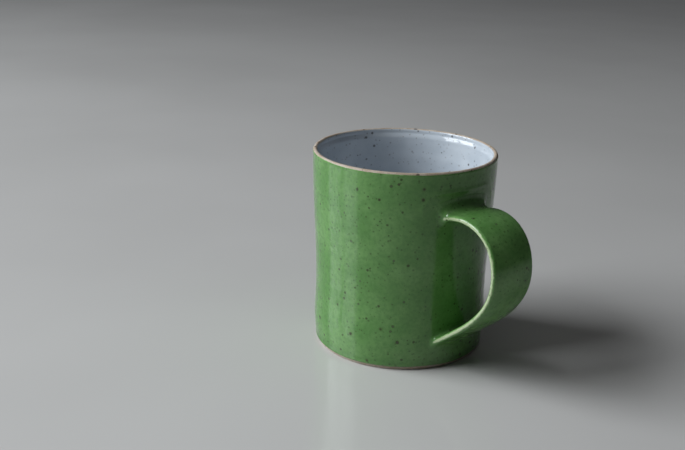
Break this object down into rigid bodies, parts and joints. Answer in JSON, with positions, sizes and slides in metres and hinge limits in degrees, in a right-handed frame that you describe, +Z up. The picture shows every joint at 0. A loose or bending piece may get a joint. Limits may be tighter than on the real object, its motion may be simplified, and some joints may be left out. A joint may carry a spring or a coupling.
{
  "type": "mug",
  "caption": "Hand-thrown stoneware mug with a wide strap handle, speckled green glaze outside, pale liner glaze inside, bare clay lip and foot.",
  "frame": {"origin": "centre of the foot ring, in the plane the mug stands on", "axes": "+Z up along the axis the mug was thrown on, +X towards the handle, which is symmetric about the XZ plane"},
  "size_m": [0.1143, 0.083, 0.091],
  "materials": {
    "bare_clay": "unglazed, speckled",
    "handle_clay": "unglazed, under glaze",
    "slip": "unglazed, under glaze",
    "liner_glaze": "glossy, speckled",
    "green_glaze": "glossy, speckled",
    "handle_glaze": "glossy, pale on the edges"
  },
  "bodies": {
    "root": {"thrown_body": "bare_clay", "handle_strap": "handle_clay", "upper_slip_joint": "slip", "lower_slip_joint": "slip", "liner_glaze": "liner_glaze", "wall_glaze": "green_glaze", "handle_glaze": "handle_glaze"}
  },
  "joints": []
}
